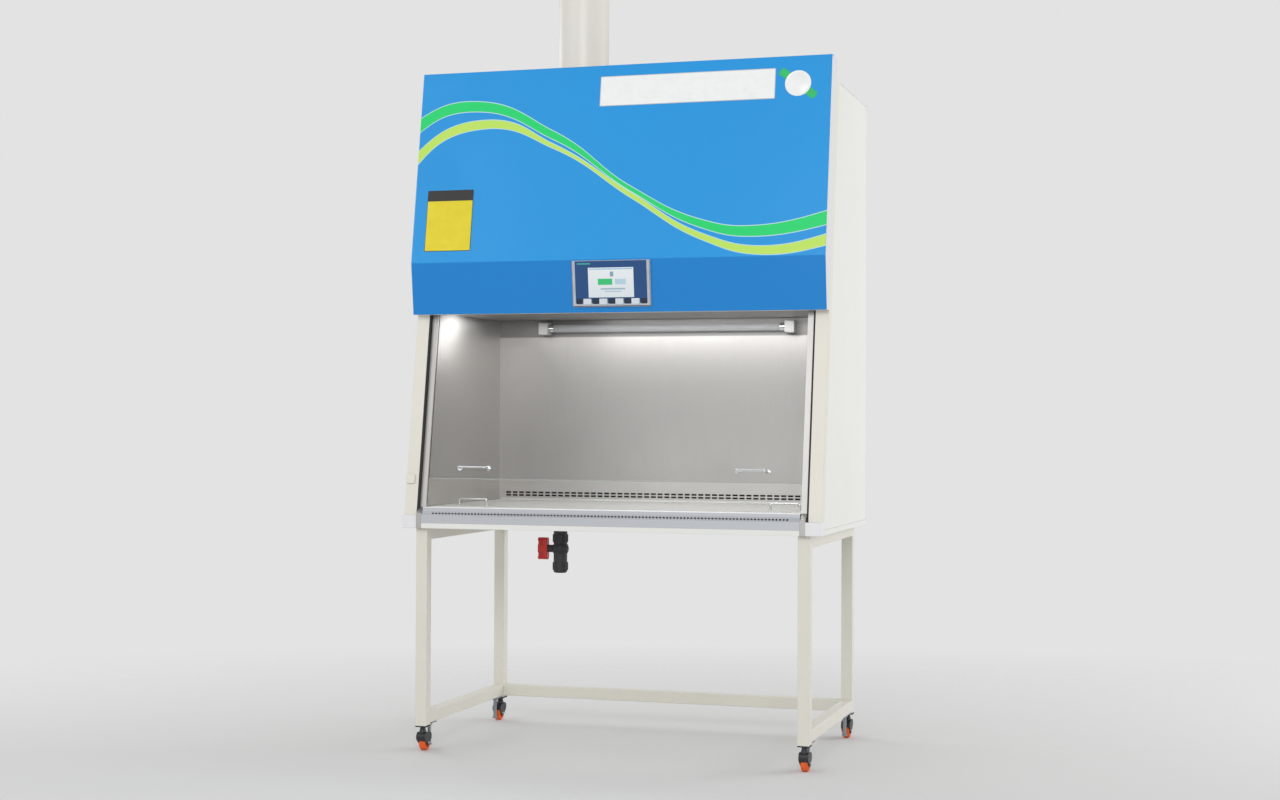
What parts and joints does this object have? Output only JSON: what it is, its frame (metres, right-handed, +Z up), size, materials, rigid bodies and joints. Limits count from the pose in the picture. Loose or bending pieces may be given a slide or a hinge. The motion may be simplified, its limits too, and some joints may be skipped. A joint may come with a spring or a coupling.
{
  "type": "biosafety_cabinet",
  "caption": "Class II biosafety cabinet with an exhaust duct, sliding sash, blue wave front panel and touch panel, on a rolling tube stand",
  "frame": {"origin": "on the floor, under the centre of the overall box", "axes": "+Z up; +X to the right of an operator facing the cabinet; -Y out of the front, towards the operator"},
  "size_m": [1.35, 0.7552, 2.48],
  "materials": {
    "cabinet_paint": "satin",
    "canopy_blue": "satin",
    "stainless": "satin",
    "zinc": "satin",
    "stand_paint": "satin",
    "duct_paint": "satin",
    "sash_glass": "polished",
    "black_rubber": "matte",
    "black_plastic": "matte",
    "orange_polyurethane": "satin",
    "red_plastic": "gloss",
    "silver_plastic": "satin",
    "screen": "gloss",
    "key_plastic": "satin",
    "lamp_glass": "polished",
    "holder_plastic": "satin",
    "filter_media": "matte",
    "blower_steel": "satin"
  },
  "bodies": {
    "cabinet": {"stand_side_right": "stand_paint", "stand_side_left": "stand_paint", "stand_rear_rails": "stand_paint", "caster_flanges": "black_plastic", "jack_nuts": "zinc", "base_pan": "cabinet_paint", "drain_pan": "stainless", "drain_valve_body": "black_plastic", "side_panel_right": "cabinet_paint", "side_panel_left": "cabinet_paint", "rear_panel": "cabinet_paint", "roof_panel": "cabinet_paint", "duct_collar": "duct_paint", "exhaust_duct": "duct_paint", "posts": "cabinet_paint", "post_feet": "stand_paint", "sash_gaskets": "black_rubber", "sash_guides": "stainless", "post_catch": "cabinet_paint", "front_sill": "stainless", "sill_ends": "stainless", "side_liners": "stainless", "back_liner": "stainless", "ceiling_diffuser": "stainless", "plenum_front": "cabinet_paint", "hood_sides": "cabinet_paint", "hood_top_plate": "cabinet_paint", "hood_bottom_plate": "cabinet_paint", "panel_hinges": "zinc", "lamp_holders": "holder_plastic", "lamp_tube": "lamp_glass", "hepa_filters": "filter_media", "blower_housing": "blower_steel"},
    "front_panel": {"front_panel": "canopy_blue", "hinge_leaves": "zinc", "hmi_housing": "silver_plastic", "hmi_screen": "screen"},
    "sash": {"sash_glass": "sash_glass", "sash_top_rail": "stainless", "sash_handles": "stainless"},
    "tray": {"work_tray": "stainless", "tray_handles": "stainless"},
    "valve_handle": {"drain_valve_handle": "red_plastic"},
    "impeller": {"blower_impeller": "blower_steel"},
    "fork_front_left": {"caster_fork_front_left": "black_plastic"},
    "wheel_front_left": {"caster_wheel_front_left": "orange_polyurethane"},
    "jack_front_left": {"jack_front_left": "zinc"},
    "fork_front_right": {"caster_fork_front_right": "black_plastic"},
    "wheel_front_right": {"caster_wheel_front_right": "orange_polyurethane"},
    "jack_front_right": {"jack_front_right": "zinc"},
    "fork_rear_left": {"caster_fork_rear_left": "black_plastic"},
    "wheel_rear_left": {"caster_wheel_rear_left": "orange_polyurethane"},
    "jack_rear_left": {"jack_rear_left": "zinc"},
    "fork_rear_right": {"caster_fork_rear_right": "black_plastic"},
    "wheel_rear_right": {"caster_wheel_rear_right": "orange_polyurethane"},
    "jack_rear_right": {"jack_rear_right": "zinc"},
    "key_1": {"hmi_key_1": "key_plastic"},
    "key_2": {"hmi_key_2": "key_plastic"},
    "key_3": {"hmi_key_3": "key_plastic"},
    "key_4": {"hmi_key_4": "key_plastic"}
  },
  "joints": [
    {"name": "swivel_front_left", "type": "hinge", "parent": "cabinet", "child": "fork_front_left", "pos_m": [-0.619, -0.3335, 0.06], "axis": [0, 0, 1], "continuous": true},
    {"name": "roll_front_left", "type": "hinge", "parent": "fork_front_left", "child": "wheel_front_left", "pos_m": [-0.619, -0.3195, 0.024], "axis": [1, 0, 0], "continuous": true},
    {"name": "level_front_left", "type": "slide", "parent": "cabinet", "child": "jack_front_left", "axis": [0, 0, 1], "range_m": [-0.012, 0.01]},
    {"name": "swivel_front_right", "type": "hinge", "parent": "cabinet", "child": "fork_front_right", "pos_m": [0.619, -0.3335, 0.06], "axis": [0, 0, 1], "continuous": true},
    {"name": "roll_front_right", "type": "hinge", "parent": "fork_front_right", "child": "wheel_front_right", "pos_m": [0.619, -0.3195, 0.024], "axis": [1, 0, 0], "continuous": true},
    {"name": "level_front_right", "type": "slide", "parent": "cabinet", "child": "jack_front_right", "axis": [0, 0, 1], "range_m": [-0.012, 0.01]},
    {"name": "swivel_rear_left", "type": "hinge", "parent": "cabinet", "child": "fork_rear_left", "pos_m": [-0.619, 0.3585, 0.06], "axis": [0, 0, 1], "continuous": true},
    {"name": "roll_rear_left", "type": "hinge", "parent": "fork_rear_left", "child": "wheel_rear_left", "pos_m": [-0.619, 0.3445, 0.024], "axis": [1, 0, 0], "continuous": true},
    {"name": "level_rear_left", "type": "slide", "parent": "cabinet", "child": "jack_rear_left", "axis": [0, 0, 1], "range_m": [-0.012, 0.01]},
    {"name": "swivel_rear_right", "type": "hinge", "parent": "cabinet", "child": "fork_rear_right", "pos_m": [0.619, 0.3585, 0.06], "axis": [0, 0, 1], "continuous": true},
    {"name": "roll_rear_right", "type": "hinge", "parent": "fork_rear_right", "child": "wheel_rear_right", "pos_m": [0.619, 0.3445, 0.024], "axis": [1, 0, 0], "continuous": true},
    {"name": "level_rear_right", "type": "slide", "parent": "cabinet", "child": "jack_rear_right", "axis": [0, 0, 1], "range_m": [-0.012, 0.01]},
    {"name": "panel_swing", "type": "hinge", "parent": "cabinet", "child": "front_panel", "pos_m": [0, -0.1822, 2.1805], "axis": [-1, 0, 0], "range_deg": [0, 75]},
    {"name": "sash_slide", "type": "slide", "parent": "cabinet", "child": "sash", "axis": [0, 0.1564, 0.9877], "range_m": [-0.088, 0.41]},
    {"name": "tray_lift", "type": "slide", "parent": "cabinet", "child": "tray", "axis": [0, 0, 1], "range_m": [0, 0.05]},
    {"name": "valve_turn", "type": "hinge", "parent": "cabinet", "child": "valve_handle", "pos_m": [-0.228, -0.1325, 0.639], "axis": [-1, 0, 0], "range_deg": [0, 90]},
    {"name": "impeller_spin", "type": "hinge", "parent": "cabinet", "child": "impeller", "pos_m": [0.21, 0.1075, 1.755], "axis": [0, 1, 0], "continuous": true},
    {"name": "press_1", "type": "slide", "parent": "front_panel", "child": "key_1", "axis": [0, 0.992, 0.1264], "range_m": [0, 0.0012], "stiffness_N_per_m": 500},
    {"name": "press_2", "type": "slide", "parent": "front_panel", "child": "key_2", "axis": [0, 0.992, 0.1264], "range_m": [0, 0.0012], "stiffness_N_per_m": 500},
    {"name": "press_3", "type": "slide", "parent": "front_panel", "child": "key_3", "axis": [0, 0.992, 0.1264], "range_m": [0, 0.0012], "stiffness_N_per_m": 500},
    {"name": "press_4", "type": "slide", "parent": "front_panel", "child": "key_4", "axis": [0, 0.992, 0.1264], "range_m": [0, 0.0012], "stiffness_N_per_m": 500}
  ]
}
